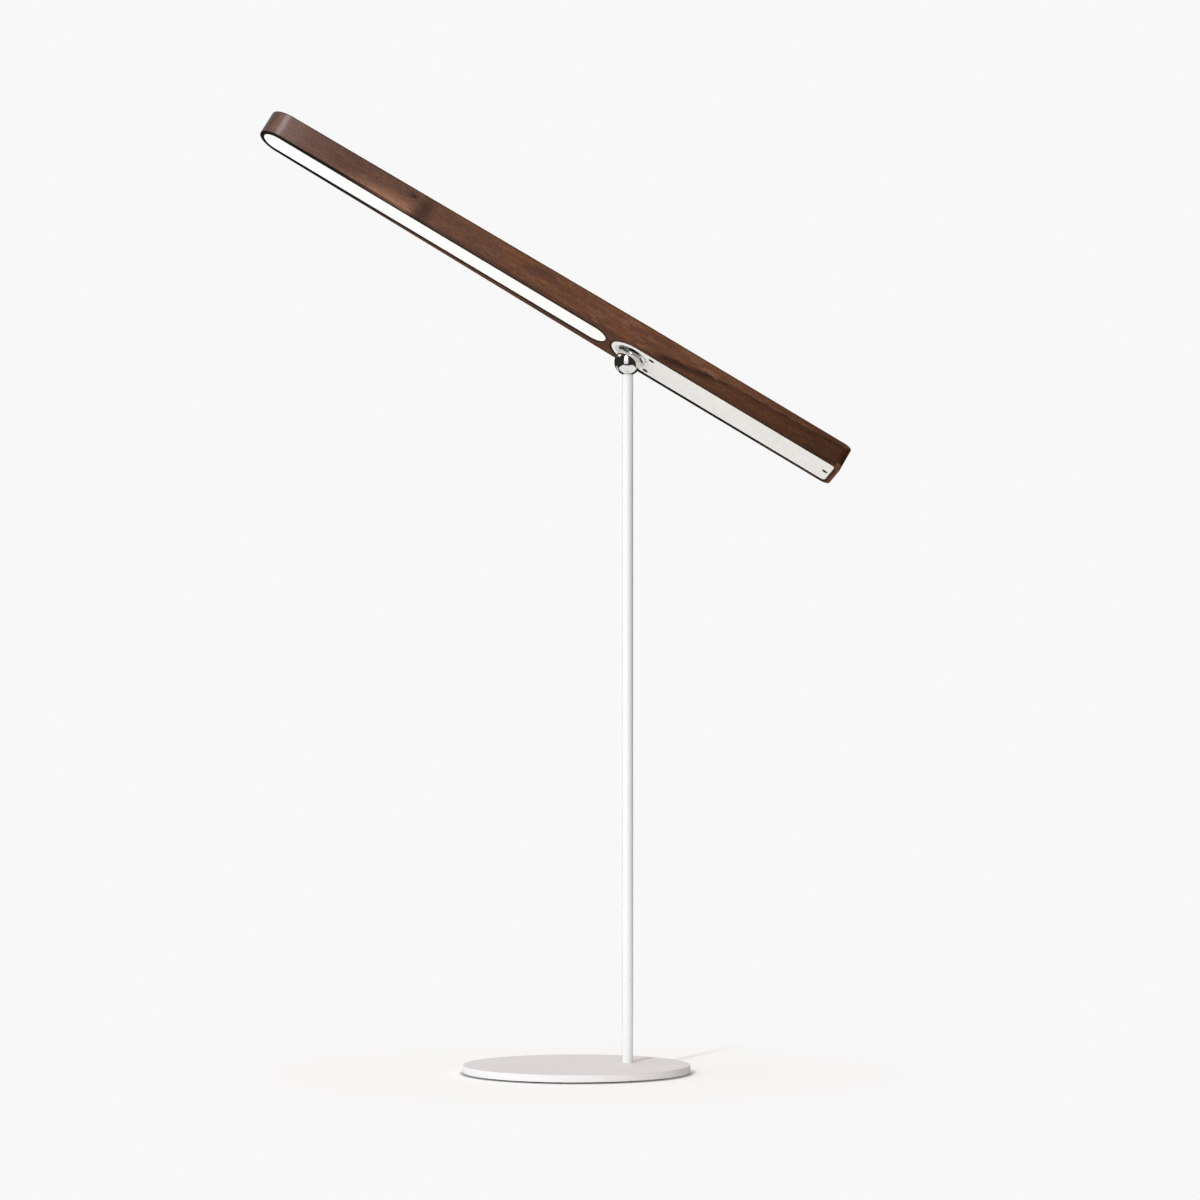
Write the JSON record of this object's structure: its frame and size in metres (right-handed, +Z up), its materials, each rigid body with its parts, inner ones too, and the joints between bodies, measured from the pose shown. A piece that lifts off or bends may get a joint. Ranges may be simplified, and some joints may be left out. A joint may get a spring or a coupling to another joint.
{
  "type": "table lamp",
  "caption": "Cordless table lamp: a walnut light bar with a long diffuser tilts on a polished ball above a slim white stem and a thin round base.",
  "frame": {"origin": "centre of the base, on the table", "axes": "+Z up, along the stem; -Y towards the viewer; +X towards the heel of the light bar"},
  "size_m": [0.3282, 0.126, 0.5328],
  "materials": {
    "white_paint": "satin white powder coat",
    "grip_rubber": "matt black",
    "stem_paint": "satin white powder coat",
    "screw_steel": "zinc plated",
    "ball_chrome": "mirror polish",
    "cup_chrome": "mirror polish",
    "magnet_nickel": "nickel plated",
    "walnut": "oiled walnut, satin",
    "opal_acrylic": "opal, lit from behind",
    "bare_aluminium": "mill finish",
    "white_board": "white solder mask",
    "led_phosphor": "phosphor",
    "cover_plastic": "fine matt texture",
    "black_screw": "black oxide",
    "insert_brass": "plain brass",
    "cell_foil": "laminated foil pouch",
    "amber_tape": "polyimide tape",
    "grey_foam": "closed-cell foam",
    "green_board": "green solder mask",
    "chip_black": "moulded package",
    "ferrite_grey": "ferrite",
    "capacitor_tan": "ceramic",
    "socket_steel": "drawn steel shell",
    "copper_foil": "copper",
    "red_wire": "insulated",
    "black_wire": "insulated"
  },
  "bodies": {
    "stand": {"base_plate": "white_paint", "base_pad": "grip_rubber", "stem": "stem_paint", "stem_screw": "screw_steel", "ball_stud": "screw_steel"},
    "ball": {"joint_ball": "ball_chrome"},
    "cup": {"joint_cup": "cup_chrome", "cup_magnet": "magnet_nickel", "magnet_pot": "magnet_nickel"},
    "light_bar": {"wooden_bar": "walnut", "diffuser": "opal_acrylic", "heat_spreader": "bare_aluminium", "led_board": "white_board", "led_chips": "led_phosphor", "cover_plate": "cover_plastic", "cover_screws": "black_screw", "screw_inserts": "insert_brass", "battery_cell": "cell_foil", "safety_board": "amber_tape", "battery_foam": "grey_foam", "control_board": "green_board", "board_screws": "screw_steel", "driver_chip": "chip_black", "charge_chip": "chip_black", "choke_coil": "ferrite_grey", "capacitors": "capacitor_tan", "usb_socket": "socket_steel", "usb_tongue": "chip_black", "touch_foil": "copper_foil", "touch_pin": "insert_brass", "led_lead": "red_wire", "battery_wire_plus": "red_wire", "battery_wire_minus": "black_wire"}
  },
  "joints": [
    {"name": "swivel", "type": "hinge", "parent": "stand", "child": "ball", "pos_m": [0.02843, 0.01236, 0.394], "axis": [0, 0, 1], "continuous": true},
    {"name": "tilt", "type": "hinge", "parent": "ball", "child": "cup", "pos_m": [0.02843, 0.01236, 0.394], "axis": [-0.5344, 0.8453, 0], "range_deg": [-119.6, 50.4]},
    {"name": "spin", "type": "hinge", "parent": "cup", "child": "light_bar", "pos_m": [0.02843, 0.01236, 0.394], "axis": [0.48, 0.3034, 0.8231], "continuous": true}
  ]
}
